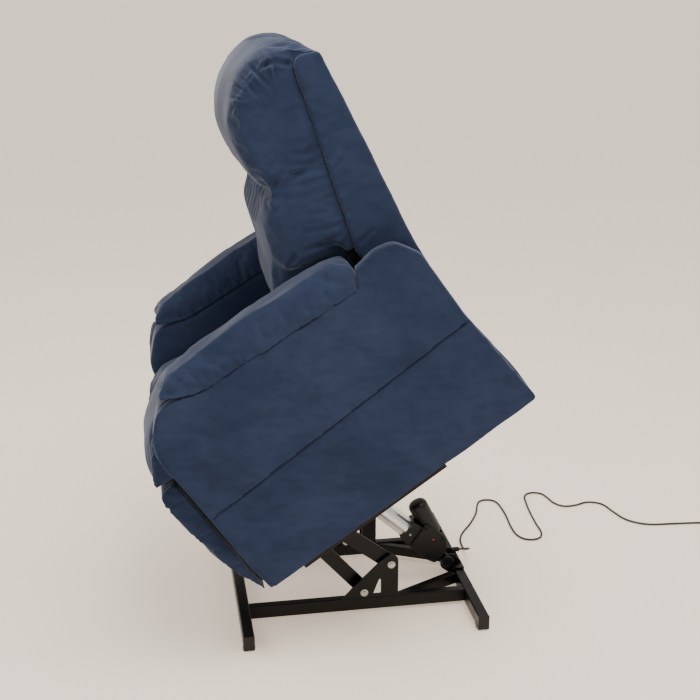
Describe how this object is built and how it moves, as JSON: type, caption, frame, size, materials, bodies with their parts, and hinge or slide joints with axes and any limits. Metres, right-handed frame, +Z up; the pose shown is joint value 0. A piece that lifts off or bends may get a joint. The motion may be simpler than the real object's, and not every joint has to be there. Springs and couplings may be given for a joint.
{
  "type": "lift recliner chair",
  "caption": "Powered upholstered armchair whose motor tips the seat body forwards on links, with a reclining back, a fold-out footrest and a hand control.",
  "frame": {"origin": "on the floor under the centre of the chair's box, in its raised pose", "axes": "+Z up, -Y the way the sitter faces, +X towards the sitter's left"},
  "size_m": [0.8895, 1.8663, 1.5404],
  "materials": {
    "black_painted_steel": "satin black powder coat",
    "zinc_plated_steel": "zinc plated",
    "brushed_aluminium": "extruded, finely ribbed",
    "black_plastic": "fine moulded grain",
    "grey_plastic": "matte",
    "cord_rubber": "matte sheath",
    "navy_microfibre": "brushed suede-like nap",
    "black_lined_board": "matte"
  },
  "bodies": {
    "lift_base": {"crossbar_front": "black_painted_steel", "crossbar_rear": "black_painted_steel", "rail_left": "black_painted_steel", "rail_right": "black_painted_steel", "brace_left": "black_painted_steel", "brace_right": "black_painted_steel", "lift_bracket_left": "black_painted_steel", "lift_bracket_right": "black_painted_steel", "lower_base_bolt_left": "zinc_plated_steel", "lower_base_bolt_right": "zinc_plated_steel", "upper_base_bolt_left": "zinc_plated_steel", "upper_base_bolt_right": "zinc_plated_steel", "foot_front_left": "black_plastic", "foot_front_right": "black_plastic", "foot_rear_left": "black_plastic", "foot_rear_right": "black_plastic", "motor_clevis": "black_painted_steel", "motor_pin": "zinc_plated_steel", "cord_run": "cord_rubber", "cord_coil": "cord_rubber", "plug": "black_plastic"},
    "lower_links": {"lower_link_left": "black_painted_steel", "lower_link_right": "black_painted_steel", "lower_cross_tube": "black_painted_steel"},
    "upper_links": {"upper_link_left": "black_painted_steel", "upper_link_right": "black_painted_steel"},
    "seat_body": {"chassis_rail_left": "black_painted_steel", "chassis_rail_right": "black_painted_steel", "lift_ear_left": "black_painted_steel", "lift_ear_right": "black_painted_steel", "cross_member_front": "black_painted_steel", "drive_tube": "black_painted_steel", "footrest_shaft": "black_painted_steel", "rear_rail": "navy_microfibre", "side_panel_left": "navy_microfibre", "side_panel_right": "navy_microfibre", "arm_box_left": "navy_microfibre", "arm_box_right": "navy_microfibre", "arm_pad_left": "navy_microfibre", "arm_pad_right": "navy_microfibre", "seat_deck": "black_lined_board", "seat_cushion": "navy_microfibre", "handset": "black_plastic", "handset_pocket": "navy_microfibre"},
    "backrest": {"back_frame": "black_lined_board", "back_cover": "navy_microfibre", "lumbar_cushion": "navy_microfibre", "head_cushion": "navy_microfibre"},
    "footrest_arms": {"footrest_arm_left": "black_painted_steel", "footrest_arm_right": "black_painted_steel"},
    "footrest_links": {"footrest_link_left": "black_painted_steel", "footrest_link_right": "black_painted_steel"},
    "footrest": {"footrest_board": "black_lined_board", "footrest_pad": "navy_microfibre"},
    "actuator": {"gearbox": "black_plastic", "motor_housing": "black_plastic", "actuator_tube": "brushed_aluminium"},
    "rod": {"actuator_rod": "zinc_plated_steel"},
    "raise_button": {"button_raise": "grey_plastic"},
    "lower_button": {"button_lower": "grey_plastic"}
  },
  "joints": [
    {"name": "lift", "type": "hinge", "parent": "lift_base", "child": "lower_links", "pos_m": [0.01125, 0.0842, 0.061], "axis": [1, 0, 0], "range_deg": [0, 42.94]},
    {"name": "chassis_tilt", "type": "hinge", "parent": "lower_links", "child": "seat_body", "pos_m": [0.01125, -0.10568, 0.27487], "axis": [1, 0, 0], "range_deg": [-78, 0]},
    {"name": "upper_link_swing", "type": "hinge", "parent": "lift_base", "child": "upper_links", "pos_m": [0.01125, 0.1592, 0.14], "axis": [1, 0, 0], "range_deg": [0, 40.25]},
    {"name": "actuator_swing", "type": "hinge", "parent": "lift_base", "child": "actuator", "pos_m": [0.01125, 0.3542, 0.058], "axis": [1, 0, 0], "range_deg": [0, 26.75]},
    {"name": "rod_slide", "type": "slide", "parent": "actuator", "child": "rod", "axis": [0, -0.7555, 0.6552], "range_m": [-0.0908, 0]},
    {"name": "recline", "type": "hinge", "parent": "seat_body", "child": "backrest", "pos_m": [0.01125, 0.12114, 0.67399], "axis": [1, 0, 0], "range_deg": [-35, 0]},
    {"name": "footrest_extend", "type": "hinge", "parent": "seat_body", "child": "footrest_arms", "pos_m": [0.01125, -0.28024, 0.39294], "axis": [1, 0, 0], "range_deg": [-118.38, 0]},
    {"name": "footrest_elbow", "type": "hinge", "parent": "footrest_arms", "child": "footrest_links", "pos_m": [0.01125, -0.12294, 0.30776], "axis": [1, 0, 0], "range_deg": [0, 141.9]},
    {"name": "footrest_tilt", "type": "hinge", "parent": "footrest_links", "child": "footrest", "pos_m": [0.01125, -0.30645, 0.32576], "axis": [1, 0, 0], "range_deg": [-111.6, 0]},
    {"name": "press_raise", "type": "slide", "parent": "seat_body", "child": "raise_button", "axis": [1, 0, 0], "range_m": [0, 0.0015], "stiffness_N_per_m": 600},
    {"name": "press_lower", "type": "slide", "parent": "seat_body", "child": "lower_button", "axis": [1, 0, 0], "range_m": [0, 0.0015], "stiffness_N_per_m": 600}
  ],
  "couplings": [
    {"joint": "chassis_tilt", "follows": "lift", "ratio": -1.815},
    {"joint": "upper_link_swing", "follows": "lift", "ratio": 0.9357},
    {"joint": "actuator_swing", "follows": "lift", "ratio": 0.6213},
    {"joint": "rod_slide", "follows": "lift", "m_per_rad": -0.1209},
    {"joint": "footrest_elbow", "follows": "footrest_extend", "ratio": -1.1982},
    {"joint": "footrest_tilt", "follows": "footrest_extend", "ratio": 0.94157}
  ]
}
